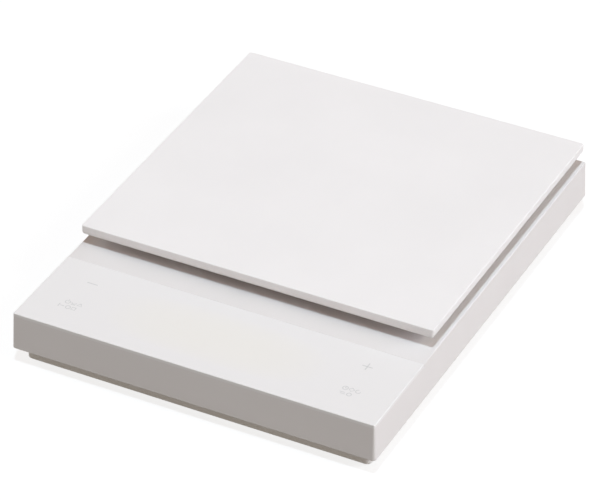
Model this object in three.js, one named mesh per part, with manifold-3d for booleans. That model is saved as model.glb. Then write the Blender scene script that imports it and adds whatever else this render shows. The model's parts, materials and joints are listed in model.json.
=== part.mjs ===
// A battery-powered digital gram scale: a drafted plastic base with a touch panel at the front,
// a load cell inside it, and a thin lift-off weighing platform over it.
// Millimetres. +X is to the right, -Y is the front, +Z is up. The origin is on the table, under the middle.
import * as THREE from "three";
import { mergeVertices } from "three/addons/utils/BufferGeometryUtils.js";
import Module from "manifold-3d";

const wasm = await Module();
wasm.setup();

// ---- Driving dimensions -------------------------------------------------------------------------

const clearance = 0.3; // between a piece and the opening that it sits in
const faceGap = 0.1; // between faces that rest on each other

// Base
const topWidth = 140; // across the control panel
const topDepth = 178; // front of the panel to the rear of the top
const wallDraft = 0.044; // outward lean of the walls for each mm of drop
const bodyCornerRadius = 0.6;
const wallThickness = 2.2;
const footLift = 1; // plinth's clearance over the table
const plinthHeight = 5.6;
const plinthInset = 2.9; // from the outline of the top
const bodyHeight = 14.8; // lower edge of the walls to the top of the control panel

// Control panel
const panelDepth = 38.6;
const panelThickness = 1.2;
const panelProud = 0.2; // over the deck behind it
const seamGap = 0.15;
const ceilingThickness = 1.9; // of the shelf under the panel
const displayWidth = 56;
const displayDepth = 17;
const touchKeyX = 50;
const touchKeyY = 23; // from the front of the panel

// Platform
const platformTop = 8.2; // over the control panel
const platformThickness = 4.3;
const platformSkin = 2;
const platformInset = 0.7; // from the sides of the base
const platformFront = 47.2; // from the front of the panel
const platformRearMargin = 0.6;
const platformCornerRadius = 1;
const platformEdgeDrop = 1.6; // height of the rounded lower edge

// Load cell
const cellLength = 80;
const cellWidth = 12.7;
const cellHeight = 10;
const cellHoleFromEnd = [5, 20];
const cellBossTop = 4;
const baseSpacerThickness = 1;
const spacerLength = 25;
const machineScrewRadius = 1.45;
const machineHoleRadius = 1.7;

// Carrier
const carrierWidth = 96;
const carrierDepth = 90;
const carrierThickness = 1.9;
const carrierLift = 0.8; // over the deck
const padRadius = 6;
const padInset = 9; // from the edges of the carrier to the middle of a pad

// Fasteners and feet
const footRadius = 6;
const footRecess = 0.8;
const footPosition = [57, 76];
const caseScrewPosition = [60, 59];
const caseScrewRadius = 1.3;
const boardScrewRadius = 0.9;
const boardScrewX = 38;
const boardScrewFrontY = -82;
const boardScrewRearY = -51;

// Circuit board
const boardWidth = 110;
const boardFront = -85;
const boardRear = -47;
const boardThickness = 1.6;

// Battery bay: three AAA cells side by side
const batteryRadius = 5.2;
const batteryBody = 43.3;
const batteryNub = 1;
const batteryPitch = 11.2;
const bayMiddle = 31.25; // x of the middle cell
const bayHalfWidth = 17;
const bayWall = 2;
const bayFront = -4;
const bayRear = 47;
const bayCeiling = 14;
const contactThickness = 0.4;
const doorThickness = 1.6;
const doorLedge = 1; // width of the ledge that the door rests on
const doorHingeY = 43.2;
const leadHoleHeight = 1.8; // under the ceiling of the bay
const leadRadius = 0.6;

// ---- Levels and places worked out from them -------------------------------------------------------

const floorBottom = footLift;
const floorTop = floorBottom + 2;
const bodyBottom = footLift + plinthHeight;
const panelTop = bodyBottom + bodyHeight;
const deckTop = panelTop - panelProud;
const seatTop = panelTop - panelThickness - faceGap;
const ceiling = seatTop - ceilingThickness;
const front = -topDepth / 2;
const rear = topDepth / 2;
const seamY = front + panelDepth;
const platformZ = panelTop + platformTop - platformThickness;
const platformTopZ = panelTop + platformTop;
const platformFrontY = front + platformFront;
const platformRearY = rear - platformRearMargin;
const platformY = (platformFrontY + platformRearY) / 2;
const platformDepth = platformRearY - platformFrontY;
const platformWidth = topWidth - 2 * platformInset;
const cellBottom = cellBossTop + baseSpacerThickness + 2 * faceGap;
const cellTop = cellBottom + cellHeight;
const cellFrontY = platformY - cellLength / 2;
const cellRearY = platformY + cellLength / 2;
const carrierBottom = deckTop + carrierLift;
const carrierTop = carrierBottom + carrierThickness;
const boardTop = ceiling - 1.5 - faceGap;
const boardBottom = boardTop - boardThickness;
const boardY = (boardFront + boardRear) / 2;
const touchY = front + touchKeyY;
const displayY = front + panelDepth / 2;
const batteryZ = floorBottom + doorThickness + 0.4 + batteryRadius;
const cellScrewSeat = floorTop - 0.5; // underside of the heads of the load cell's base screws
const redLeadStart = { x: 16.4, y: 46, z: bayCeiling - leadHoleHeight / 2 };
const blackLeadStart = { x: 44.5, y: -2.6, z: bayCeiling - leadHoleHeight / 2 };

// ---- Materials --------------------------------------------------------------------------------------

const finish = (color, roughness, metalness = 0) =>
  new THREE.MeshStandardMaterial({ color, roughness, metalness });
const whitePlastic = () => finish(0xf1f0ef, 0.5);
const panelPlastic = () => finish(0xf3f2f0, 0.35);
const coverPlastic = () => finish(0xe9e8e6, 0.55);
const greyRubber = () => finish(0xbcbcba, 0.8);
const aluminium = () => finish(0xb9bcc0, 0.35, 1);
const steel = () => finish(0xa9abae, 0.3, 1);
const nickel = () => finish(0xc9c6bf, 0.25, 1);
const boardResin = () => finish(0x1f6b3c, 0.5);
const blackResin = () => finish(0x1c1c1e, 0.5);
const sealant = () => finish(0xe4e2dc, 0.6);

// ---- Geometry helpers ---------------------------------------------------------------------------------

const arcDivisions = 2; // an arc of an outline gets twice as many segments
const roundSegments = 16; // for each full circle
const holeSegments = 12; // for small bosses and holes
const recessSegments = 32; // for the round recesses of the underside

function toSolid(geometry) {
  const bare = geometry.index ? geometry.toNonIndexed() : geometry.clone();
  bare.deleteAttribute("normal");
  bare.deleteAttribute("uv");
  const merged = mergeVertices(bare, 1e-4);
  return new wasm.Manifold(
    new wasm.Mesh({
      numProp: 3,
      vertProperties: merged.attributes.position.array,
      triVerts: new Uint32Array(merged.index.array),
    }),
  );
}

function toGeometry(solid) {
  const mesh = solid.getMesh();
  const geometry = new THREE.BufferGeometry();
  geometry.setAttribute("position", new THREE.BufferAttribute(mesh.vertProperties, 3));
  geometry.setIndex(new THREE.BufferAttribute(mesh.triVerts, 1));
  return geometry;
}

const joined = (...solids) => solids.reduce((all, next) => all.add(next));
const cutBy = (solid, ...tools) => tools.reduce((all, next) => all.subtract(next), solid);

function roundedOutline(width, depth, radius) {
  const x = width / 2;
  const y = depth / 2;
  const shape = new THREE.Shape();
  shape.absarc(x - radius, y - radius, radius, 0, Math.PI / 2);
  shape.absarc(-x + radius, y - radius, radius, Math.PI / 2, Math.PI);
  shape.absarc(-x + radius, -y + radius, radius, Math.PI, 1.5 * Math.PI);
  shape.absarc(x - radius, -y + radius, radius, 1.5 * Math.PI, 2 * Math.PI);
  return shape;
}

// A rounded plate between two levels. Its lower outline is larger than its upper one by flare on each side.
function plate(width, depth, radius, bottom, top, { x = 0, y = 0, flare = 0 } = {}) {
  const geometry = new THREE.ExtrudeGeometry(roundedOutline(width, depth, radius), {
    depth: top - bottom,
    bevelEnabled: false,
    curveSegments: arcDivisions,
  });
  const corners = geometry.attributes.position;
  for (let i = 0; i < corners.count; i++) {
    if (corners.getZ(i) < (top - bottom) / 2) {
      corners.setX(i, corners.getX(i) * (1 + (2 * flare) / width));
      corners.setY(i, corners.getY(i) * (1 + (2 * flare) / depth));
    }
  }
  geometry.translate(x, y, bottom);
  return toSolid(geometry);
}

function block(x0, x1, y0, y1, z0, z1) {
  const geometry = new THREE.BoxGeometry(x1 - x0, y1 - y0, z1 - z0);
  geometry.translate((x0 + x1) / 2, (y0 + y1) / 2, (z0 + z1) / 2);
  return toSolid(geometry);
}

function post(radius, bottom, top, x, y, segments = roundSegments) {
  const geometry = new THREE.CylinderGeometry(radius, radius, top - bottom, segments);
  geometry.rotateX(Math.PI / 2);
  geometry.translate(x, y, (bottom + top) / 2);
  return toSolid(geometry);
}

// A turned solid from a profile of [radius, height] points that starts and ends on the axis.
function turned(profile, segments = roundSegments) {
  const points = profile.map(([radius, height]) => new THREE.Vector2(radius, height));
  const geometry = new THREE.LatheGeometry(points, segments);
  geometry.rotateX(Math.PI / 2);
  return toSolid(geometry);
}

class Helix extends THREE.Curve {
  constructor(startRadius, endRadius, turns, height) {
    super();
    Object.assign(this, { startRadius, endRadius, turns, height });
  }

  getPoint(t, target = new THREE.Vector3()) {
    const angle = 2 * Math.PI * this.turns * t;
    const radius = this.startRadius + (this.endRadius - this.startRadius) * t;
    return target.set(radius * Math.cos(angle), radius * Math.sin(angle), this.height * t);
  }
}

// Round wire with six sides that follows a curve.
function wire(curve, radius, steps) {
  const section = new THREE.Shape();
  section.absarc(0, 0, radius, 0, 2 * Math.PI);
  return toSolid(
    new THREE.ExtrudeGeometry(section, {
      steps,
      curveSegments: 3,
      bevelEnabled: false,
      extrudePath: curve,
    }),
  );
}

const wireThrough = (points, radius, steps) =>
  wire(new THREE.CatmullRomCurve3(points.map((p) => new THREE.Vector3(...p))), radius, steps);

const screwSegments = 10;

// A pan-head screw with a cross recess. Its drive face is at z = 0 and its shank points up.
function screw(headRadius, headHeight, shankRadius, shankLength) {
  const end = headHeight + shankLength;
  const body = turned(
    [
      [0, 0],
      [headRadius * 0.8, 0],
      [headRadius, headHeight * 0.4],
      [headRadius, headHeight],
      [shankRadius, headHeight],
      [shankRadius, end - shankRadius],
      [0, end],
    ],
    screwSegments,
  );
  const reach = headRadius * 0.55;
  const half = headRadius * 0.14;
  const depth = headHeight * 0.5;
  const lengthwise = block(-reach, reach, -half, half, -1, depth);
  const crosswise = block(-half, half, -reach, reach, -1, depth);
  return cutBy(body, lengthwise, crosswise);
}

const scale = new THREE.Group();
const cornerName = (sx, sy) => `${sy < 0 ? "front" : "rear"}_${sx < 0 ? "left" : "right"}`;
const corners = [-1, 1].flatMap((sy) =>
  [-1, 1].map((sx) => ({ sx, sy, name: cornerName(sx, sy) })),
);

function add(name, solid, material, parent = scale) {
  const mesh = new THREE.Mesh(toGeometry(solid), material);
  mesh.name = name;
  parent.add(mesh);
  return mesh;
}

// ---- Base ---------------------------------------------------------------------------------------------

const caseScrewPlaces = corners.map(({ sx, sy, name }) => ({
  x: sx * caseScrewPosition[0],
  y: sy * caseScrewPosition[1],
  name,
}));
const boardScrewPlaces = corners.map(({ sx, sy, name }) => ({
  x: sx * boardScrewX,
  y: sy < 0 ? boardScrewFrontY : boardScrewRearY,
  name,
}));
const footPlaces = corners.map(({ sx, sy, name }) => ({
  x: sx * footPosition[0],
  y: sy * footPosition[1],
  name,
}));
const padPlaces = corners.map(({ sx, sy, name }) => ({
  x: sx * (carrierWidth / 2 - padInset),
  y: platformY + sy * (carrierDepth / 2 - padInset),
  name,
}));

function mainHousing() {
  const height = deckTop - bodyBottom;
  const outer = plate(topWidth, topDepth, bodyCornerRadius, bodyBottom, deckTop, {
    flare: wallDraft * height,
  });
  const far = topDepth;
  const seat = block(-far, far, -far, seamY + seamGap, seatTop, panelTop + 1);
  const cavity = plate(
    topWidth - 2 * wallThickness,
    topDepth - 2 * wallThickness,
    1,
    bodyBottom - 1,
    ceiling,
    { flare: wallDraft * height },
  );
  let shell = cutBy(outer, seat, cavity);

  // Bosses for the case screws and the board screws hang from the ceiling.
  const caseBossBottom = floorTop + 1.7;
  for (const { x, y } of caseScrewPlaces) {
    const boss = post(3.5, caseBossBottom, ceiling + 0.5, x, y, holeSegments);
    const pilot = post(caseScrewRadius + 0.2, caseBossBottom - 1, ceiling - 2, x, y, holeSegments);
    shell = shell.add(boss).subtract(pilot);
  }
  for (const { x, y } of boardScrewPlaces) {
    const boss = post(2.6, boardTop + faceGap, ceiling + 0.5, x, y, holeSegments);
    const pilot = post(boardScrewRadius + 0.2, boardTop - 1, seatTop - 0.6, x, y, holeSegments);
    shell = shell.add(boss).subtract(pilot);
  }

  const window = plate(displayWidth + 1, displayDepth + 1, 1, ceiling - 1, seatTop + 1, { y: displayY });
  const postOpening = plate(cellWidth + 8, spacerLength + 8, 2, ceiling - 1, deckTop + 1, {
    y: cellFrontY + spacerLength / 2,
  });
  const touchHoles = [-1, 1].map((side) =>
    post(4.6, ceiling - 1, seatTop + 1, side * touchKeyX, touchY),
  );
  return cutBy(shell, window, postOpening, ...touchHoles);
}

function controlPanel() {
  const flare = wallDraft * panelThickness;
  const whole = plate(topWidth, topDepth, bodyCornerRadius, panelTop - panelThickness, panelTop, { flare });
  return whole.intersect(block(-topWidth, topWidth, front - 5, seamY, 0, 50));
}

function bottomCover() {
  const width = topWidth - 2 * plinthInset;
  const depth = topDepth - 2 * plinthInset;
  const rimTop = bodyBottom + 1.6;
  const flangeGrowth = 2 * (plinthInset - wallThickness) + 0.6;
  const tray = plate(width, depth, 2, floorBottom, rimTop);
  const flange = plate(width + flangeGrowth, depth + flangeGrowth, 1.5, bodyBottom + 0.3, rimTop);
  const hollow = plate(width - 4, depth - 4, 1, floorTop, rimTop + 1);
  let cover = cutBy(joined(tray, flange), hollow);

  // Boss under the load cell's fixed end
  const bossFront = cellRearY - spacerLength - 1;
  cover = cover.add(block(-9, 9, bossFront, cellRearY + 1, floorTop - 1, cellBossTop));
  for (const y of cellScrewRows(1)) {
    const headRecess = post(3.2, 0, cellScrewSeat + 0.1, 0, y, recessSegments);
    const hole = post(machineHoleRadius, 0, cellBossTop + 1, 0, y, holeSegments);
    cover = cutBy(cover, headRecess, hole);
  }
  cover = cutBy(cover.add(batteryBayWalls()), ...batteryBayOpenings());

  for (const { x, y } of caseScrewPlaces) {
    const boss = post(4.5, floorTop - 1, floorTop + 1.4, x, y);
    const headRecess = post(3.1, 0, floorTop + 0.2, x, y, recessSegments);
    const hole = post(caseScrewRadius + clearance, 0, bodyBottom, x, y, holeSegments);
    cover = cutBy(cover.add(boss), headRecess, hole);
  }
  for (const { x, y } of footPlaces) {
    const recessTop = floorBottom + footRecess;
    cover = cover.subtract(post(footRadius + clearance, 0, recessTop, x, y, recessSegments));
  }
  return cover;
}

const bayLeft = bayMiddle - bayHalfWidth;
const bayRight = bayMiddle + bayHalfWidth;

const batteryBayWalls = () =>
  block(
    bayLeft - bayWall,
    bayRight + bayWall,
    bayFront - bayWall,
    bayRear + bayWall,
    floorTop - 1,
    bayCeiling + 1.5,
  );

function batteryBayOpenings() {
  const inside = block(bayLeft, bayRight, bayFront, bayRear, floorTop, bayCeiling);
  const doorwayRear = doorHingeY + clearance;
  const doorway = block(bayLeft, bayRight, bayFront, doorwayRear, 0, floorTop + 1);
  const doorSeat = block(
    bayLeft - doorLedge,
    bayRight + doorLedge,
    bayFront - doorLedge,
    doorwayRear,
    0,
    floorBottom + doorThickness + clearance,
  );
  const thumbY = bayFront - doorLedge - 1;
  const thumbRecess = post(8, 0, floorBottom + 0.9, bayMiddle, thumbY, recessSegments);
  // Holes for the two leads, under the ceiling of the bay
  const holeBottom = bayCeiling - leadHoleHeight;
  const { x: blackX, y: blackY } = blackLeadStart;
  const { x: redX, y: redY } = redLeadStart;
  const frontHole = block(blackX - 1.2, blackX + 1.2, blackY - 4, blackY, holeBottom, bayCeiling);
  const leftHole = block(redX - 5, redX, redY - 3, redY - 0.2, holeBottom, bayCeiling);
  return [inside, doorway, doorSeat, thumbRecess, frontHole, leftHole];
}

// The two screw rows of the load cell at its rear (1) or front (-1) end.
const cellScrewRows = (end) =>
  cellHoleFromEnd.map((distance) => (end > 0 ? cellRearY - distance : cellFrontY + distance));

add("main_housing", mainHousing(), whitePlastic());
add("control_panel", controlPanel(), panelPlastic());
add("bottom_cover", bottomCover(), coverPlastic());

const footTop = footLift + footRecess - faceGap;
for (const { x, y, name } of footPlaces) {
  const foot = turned([
    [0, 0],
    [footRadius - 0.6, 0],
    [footRadius, 0.5],
    [footRadius, footTop],
    [0, footTop],
  ]);
  add(`rubber_foot_${name}`, foot, greyRubber()).position.set(x, y, 0);
}

const caseHeadHeight = 1.5;
for (const { x, y, name } of caseScrewPlaces) {
  const caseScrew = add(`case_screw_${name}`, screw(2.7, caseHeadHeight, caseScrewRadius, 10), steel());
  caseScrew.position.set(x, y, floorTop + 0.1 - caseHeadHeight);
}

// ---- Load cell ------------------------------------------------------------------------------------------

const machineHoles = (end) =>
  cellScrewRows(end).map((y) => post(machineHoleRadius, 0, carrierTop + 1, 0, y, holeSegments));

// An aluminium bar with two cross bores joined by a slot, which leave four thin flexures.
function loadCell() {
  const bar = block(-cellWidth / 2, cellWidth / 2, cellFrontY, cellRearY, cellBottom, cellTop);
  const middle = (cellBottom + cellTop) / 2;
  const boreRadius = 3.6;
  const boreOffset = 6; // from the middle of the bar, along it
  const bore = (y) => {
    const geometry = new THREE.CylinderGeometry(boreRadius, boreRadius, cellWidth + 2, roundSegments);
    geometry.rotateZ(Math.PI / 2);
    geometry.translate(0, y, middle);
    return toSolid(geometry);
  };
  const slot = block(
    -cellWidth,
    cellWidth,
    platformY - boreOffset,
    platformY + boreOffset,
    middle - 1.5,
    middle + 1.5,
  );
  const bores = [bore(platformY - boreOffset), bore(platformY + boreOffset)];
  return cutBy(bar, ...machineHoles(-1), ...machineHoles(1), ...bores, slot);
}

function drilledSpacer(end, bottom, top) {
  const y0 = end > 0 ? cellRearY - spacerLength : cellFrontY;
  const body = block(-cellWidth / 2, cellWidth / 2, y0, y0 + spacerLength, bottom, top);
  return cutBy(body, ...machineHoles(end));
}

add("load_cell", loadCell(), aluminium());
add("load_cell_base_spacer", drilledSpacer(1, cellBossTop + faceGap, cellBottom - faceGap), steel());
const sealHeight = 0.7;
const gaugeSeal = (bottom) => plate(9, 24, 2, bottom, bottom + sealHeight, { y: platformY });
add("strain_gauge_seal_top", gaugeSeal(cellTop + faceGap), sealant());
add("strain_gauge_seal_bottom", gaugeSeal(cellBottom - faceGap - sealHeight), sealant());
cellScrewRows(1).forEach((y, i) => {
  const headHeight = 1.3;
  const solid = screw(2.8, headHeight, machineScrewRadius, 10);
  const baseScrew = add(`load_cell_base_screw_${i + 1}`, solid, steel());
  baseScrew.position.set(0, y, cellScrewSeat - headHeight);
});

// ---- Carrier and platform -----------------------------------------------------------------------------

const loadGroup = new THREE.Group();
scale.add(loadGroup);

const padPocket = 0.5; // depth of the pockets that the support pads sit in

// A plate with two windows that leave a middle spine and a frame.
function platformCarrier() {
  let carrier = plate(carrierWidth, carrierDepth, 8, carrierBottom, carrierTop, { y: platformY });
  const spine = 28;
  const frameWidth = 14;
  const windowWidth = (carrierWidth - spine - 2 * frameWidth) / 2;
  const windowDepth = carrierDepth - 40;
  for (const side of [-1, 1]) {
    const x = side * (spine + windowWidth) * 0.5;
    const place = { x, y: platformY };
    carrier = carrier.subtract(
      plate(windowWidth, windowDepth, 4, carrierBottom - 1, carrierTop + 1, place),
    );
  }
  for (const { x, y } of padPlaces) {
    carrier = carrier.subtract(post(padRadius + clearance, carrierTop - padPocket, carrierTop + 1, x, y));
  }
  return cutBy(carrier, ...machineHoles(-1));
}

const carrierSpacer = drilledSpacer(-1, cellTop + faceGap, carrierBottom - faceGap);
add("platform_carrier", platformCarrier(), coverPlastic(), loadGroup);
add("carrier_spacer", carrierSpacer, coverPlastic(), loadGroup);
cellScrewRows(-1).forEach((y, i) => {
  const headHeight = 1.8;
  const solid = screw(2.8, headHeight, machineScrewRadius, 15);
  const carrierScrew = add(`carrier_screw_${i + 1}`, solid, steel(), loadGroup);
  carrierScrew.rotation.x = Math.PI;
  carrierScrew.position.set(0, y, carrierTop + faceGap + headHeight);
});
for (const { x, y, name } of padPlaces) {
  const pad = post(padRadius, carrierTop - padPocket + faceGap, platformZ - faceGap, x, y);
  add(`support_pad_${name}`, pad, greyRubber(), loadGroup);
}

// The platform's outline, whose lower edge turns under through a quarter round.
function platformBlank() {
  const place = { y: platformY };
  const edgeTop = platformZ + platformEdgeDrop;
  const edgeSteps = 3;
  const angle = (step) => (step / edgeSteps) * (Math.PI / 2);
  const inset = (step) => platformEdgeDrop * (1 - Math.cos(angle(step)));
  const level = (step) => edgeTop - platformEdgeDrop * Math.sin(angle(step));
  const layers = [
    plate(platformWidth, platformDepth, platformCornerRadius, edgeTop, platformTopZ, place),
  ];
  for (let i = 0; i < edgeSteps; i++) {
    const width = platformWidth - 2 * inset(i);
    const depth = platformDepth - 2 * inset(i);
    const flare = inset(i) - inset(i + 1);
    layers.push(
      plate(width, depth, platformCornerRadius, level(i + 1), level(i), { ...place, flare }),
    );
  }
  return joined(...layers);
}

// Its underside has a grid of pockets, with bosses left standing over the support pads.
function weighingPlatform() {
  const pocketTop = platformTopZ - platformSkin;
  const rim = 5;
  const rib = 3;
  const pocketsEachWay = 4;
  const pocketSize = (size) => (size - 2 * rim - (pocketsEachWay - 1) * rib) / pocketsEachWay;
  const width = pocketSize(platformWidth);
  const depth = pocketSize(platformDepth);
  let body = platformBlank();
  for (let i = 0; i < pocketsEachWay; i++) {
    for (let j = 0; j < pocketsEachWay; j++) {
      const x = -platformWidth / 2 + rim + i * (width + rib);
      const y = platformFrontY + rim + j * (depth + rib);
      body = body.subtract(block(x, x + width, y, y + depth, platformZ - 1, pocketTop));
    }
  }
  for (const { x, y } of padPlaces) {
    body = body.add(post(padRadius + 1, platformZ, pocketTop + 0.5, x, y));
  }
  const screwRelief = plate(12, 30, 3, platformZ - 1, pocketTop, {
    y: cellFrontY + spacerLength / 2,
  });
  return body.subtract(screwRelief);
}

add("weighing_platform", weighingPlatform(), whitePlastic(), loadGroup);

// ---- Circuit board and what is on it --------------------------------------------------------------------

function circuitBoard() {
  const board = plate(boardWidth, boardRear - boardFront, 2, boardBottom, boardTop, { y: boardY });
  const holes = boardScrewPlaces.map(({ x, y }) =>
    post(boardScrewRadius + 0.4, boardBottom - 1, boardTop + 1, x, y, holeSegments),
  );
  return cutBy(board, ...holes);
}

add("main_circuit_board", circuitBoard(), boardResin());
for (const { x, y, name } of boardScrewPlaces) {
  const headHeight = 1.2;
  const solid = screw(1.9, headHeight, boardScrewRadius, 3.6);
  const boardScrew = add(`circuit_board_screw_${name}`, solid, steel());
  boardScrew.position.set(x, y, boardBottom - faceGap - headHeight);
}

const moduleTop = seatTop - 0.9;
const maskBottom = moduleTop + faceGap;
const maskTop = seatTop - faceGap;
const displayPlace = { y: displayY };
add(
  "display_module",
  plate(displayWidth - 2, displayDepth - 2, 0.6, boardTop + faceGap, moduleTop, displayPlace),
  blackResin(),
);

// A mask with one window for each seven-segment digit.
function lightMask() {
  const mask = plate(displayWidth, displayDepth, 0.8, maskBottom, maskTop, displayPlace);
  const digits = 4;
  const digitPitch = 12.6;
  const windows = Array.from({ length: digits }, (_, i) => {
    const x = (i - (digits - 1) / 2) * digitPitch;
    return plate(9, 12.5, 0.6, maskBottom - 1, maskTop + 1, { x, y: displayY });
  });
  return cutBy(mask, ...windows);
}

add("display_light_mask", lightMask(), blackResin());

function touchSpring() {
  const wireRadius = 0.3;
  const coilRadius = 3;
  const turns = 3.25;
  const height = seatTop - boardTop - 2 * (wireRadius + faceGap);
  const solid = wire(new Helix(coilRadius, coilRadius, turns, height), wireRadius, 28);
  return solid.translate([0, 0, boardTop + faceGap + wireRadius]);
}

add("touch_spring_minus", touchSpring(), nickel()).position.set(-touchKeyX, touchY, 0);
add("touch_spring_plus", touchSpring(), nickel()).position.set(touchKeyX, touchY, 0);

const underBoard = boardBottom - faceGap;
const chip = (width, depth, height, x, y) =>
  plate(width, depth, 0.4, underBoard - height, underBoard, { x, y });
add("buzzer", post(6, underBoard - 3, underBoard, -26, -76), blackResin());
add("microcontroller", chip(7, 7, 1.4, 6, -62), blackResin());
add("converter_chip", chip(4, 10, 1.5, -12, -60), blackResin());
add("load_cell_connector", chip(10, 5, 4, -14, -50.5), sealant());

// ---- Batteries, contacts and door -----------------------------------------------------------------------

const batteryX = [-1, 0, 1].map((i) => bayMiddle + i * batteryPitch);
const frontContactY = bayFront + clearance;
const rearContactY = bayRear - clearance;
const nubGap = 0.3;

// An AAA cell that stands on z = 0 with its positive end up.
function batteryCell() {
  const shoulder = 0.8;
  const nubRadius = 1.9;
  return turned([
    [0, 0],
    [batteryRadius - 1.2, 0],
    [batteryRadius - 0.3, 0.3],
    [batteryRadius, shoulder],
    [batteryRadius, batteryBody - shoulder],
    [batteryRadius - 0.6, batteryBody],
    [nubRadius, batteryBody],
    [nubRadius, batteryBody + batteryNub],
    [0, batteryBody + batteryNub],
  ]);
}

// Facing is 1 where the positive end points to the rear, and -1 where it points to the front.
const batteries = [
  { name: "left", facing: 1 },
  { name: "middle", facing: -1 },
  { name: "right", facing: 1 },
];
batteries.forEach(({ name, facing }, i) => {
  const cell = add(`battery_cell_${name}`, batteryCell(), finish(0x4a7a8c, 0.4, 0.2));
  const length = batteryBody + batteryNub;
  const contactY = facing > 0 ? rearContactY : frontContactY;
  cell.rotation.x = (-facing * Math.PI) / 2;
  cell.position.set(batteryX[i], contactY - facing * (contactThickness + nubGap + length), batteryZ);
});

// A coil spring that narrows towards the negative end of a cell, standing on a contact plate.
function contactSpring(end, x, plateY) {
  const wireRadius = 0.35;
  const springLength = 4.2;
  const coil = wire(new Helix(3.6, 2.1, 3, springLength - wireRadius), wireRadius, 26);
  return coil.rotate([end * 90, 0, 0]).translate([x, plateY, batteryZ]);
}

// A sheet-metal contact on the rear (1) or front (-1) wall of the bay. It covers the cells from first
// to last and has springs on the cells listed.
function batteryContact(end, first, last, springs) {
  const halfHeight = 4;
  const overhang = 4.4; // past the middle of the outer cells
  const wallY = end > 0 ? rearContactY : frontContactY;
  const innerY = wallY - end * contactThickness;
  const sheet = block(
    batteryX[first] - overhang,
    batteryX[last] + overhang,
    Math.min(wallY, innerY),
    Math.max(wallY, innerY),
    batteryZ - halfHeight,
    batteryZ + halfHeight,
  );
  return joined(sheet, ...springs.map((i) => contactSpring(end, batteryX[i], innerY)));
}

add("battery_positive_contact", batteryContact(1, 0, 0, []), nickel());
add("battery_bridge_contact_rear", batteryContact(1, 1, 2, [1]), nickel());
add("battery_bridge_contact_front", batteryContact(-1, 0, 1, [0]), nickel());
add("battery_negative_contact", batteryContact(-1, 2, 2, [2]), nickel());

function batteryDoor() {
  const left = bayLeft - doorLedge + clearance;
  const right = bayRight + doorLedge - clearance;
  const frontEdge = bayFront - doorLedge + clearance;
  const top = floorBottom + doorThickness;
  let door = block(left, right, frontEdge, doorHingeY, floorBottom, top);
  // Two hooks between the cells, over the floor behind the doorway
  const hookTop = floorTop + 1.2;
  const hookHalf = 1.4;
  for (const side of [-1, 1]) {
    const x = bayMiddle + (side * batteryPitch) / 2;
    const [x0, x1] = [x - hookHalf, x + hookHalf];
    door = door.add(block(x0, x1, doorHingeY - 2, doorHingeY, top - 0.5, hookTop));
    door = door.add(block(x0, x1, doorHingeY - 1, doorHingeY + 2.2, floorTop + 0.4, hookTop));
  }
  // A sprung tongue between two slits, with its finger grooves
  const tongueHalf = 6;
  for (const side of [-1, 1]) {
    const x = bayMiddle + side * tongueHalf;
    door = door.subtract(block(x - 0.4, x + 0.4, frontEdge - 1, frontEdge + 7, 0, top + 1));
  }
  for (let i = 0; i < 3; i++) {
    const y = frontEdge + 1.6 + i * 1.8;
    const groove = block(bayMiddle - 4, bayMiddle + 4, y - 0.4, y + 0.4, 0, floorBottom + 0.4);
    door = door.subtract(groove);
  }
  return door;
}

add("battery_door", batteryDoor(), coverPlastic());

// ---- Inner leads ----------------------------------------------------------------------------------------

const leadZ = floorTop + 1.2;
const solderZ = underBoard - 0.8;
const loadCellCable = [
  [-7.4, platformY - 10, 8.5],
  [-10, platformY - 17, 6.5],
  [-15, -14, leadZ + 0.4],
  [-16, -36, leadZ + 1],
  [-14, -46, 9],
  [-14, -50.5, underBoard - 5.2],
];
const redLead = [
  [redLeadStart.x, redLeadStart.y, redLeadStart.z],
  [bayLeft - 1, redLeadStart.y - 1.4, redLeadStart.z],
  [10.8, 43.2, 12.3],
  [10, 35, 9.6],
  [9.5, 20, 6.4],
  [9.6, 2, leadZ],
  [12, -24, leadZ],
  [20, -44, 6],
  [24, -54, solderZ],
];
const blackLead = [
  [blackLeadStart.x, blackLeadStart.y, blackLeadStart.z],
  [blackLeadStart.x, bayFront - 1.2, blackLeadStart.z],
  [43.8, -13, 9],
  [39, -28, leadZ],
  [31, -45, 6],
  [28, -56, solderZ],
];
add("load_cell_cable", wireThrough(loadCellCable, 0.9, 18), finish(0xdedbd3, 0.6));
add("battery_lead_red", wireThrough(redLead, leadRadius, 24), finish(0xb02a24, 0.6));
add("battery_lead_black", wireThrough(blackLead, leadRadius, 18), finish(0x242424, 0.6));

export default scale;
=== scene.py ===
import json
import math

import bmesh
import bpy
from mathutils import Matrix, Vector


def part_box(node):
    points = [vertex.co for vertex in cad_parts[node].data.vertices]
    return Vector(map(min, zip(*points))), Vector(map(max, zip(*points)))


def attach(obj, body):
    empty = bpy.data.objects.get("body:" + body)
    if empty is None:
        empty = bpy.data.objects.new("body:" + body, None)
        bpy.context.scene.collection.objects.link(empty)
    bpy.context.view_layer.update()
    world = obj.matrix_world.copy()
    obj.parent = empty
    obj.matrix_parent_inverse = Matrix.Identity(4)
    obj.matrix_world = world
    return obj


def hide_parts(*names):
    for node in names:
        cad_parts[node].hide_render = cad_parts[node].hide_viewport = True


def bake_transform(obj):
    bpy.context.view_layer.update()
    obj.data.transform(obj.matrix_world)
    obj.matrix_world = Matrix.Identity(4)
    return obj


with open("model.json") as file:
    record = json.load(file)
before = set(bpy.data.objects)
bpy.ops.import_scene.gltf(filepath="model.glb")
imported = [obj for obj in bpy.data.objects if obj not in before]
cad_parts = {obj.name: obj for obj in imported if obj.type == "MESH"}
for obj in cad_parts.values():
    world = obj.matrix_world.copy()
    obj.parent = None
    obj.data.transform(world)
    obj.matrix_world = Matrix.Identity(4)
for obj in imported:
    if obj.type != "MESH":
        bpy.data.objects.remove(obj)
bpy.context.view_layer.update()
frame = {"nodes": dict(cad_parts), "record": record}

MM = 0.001
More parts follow.
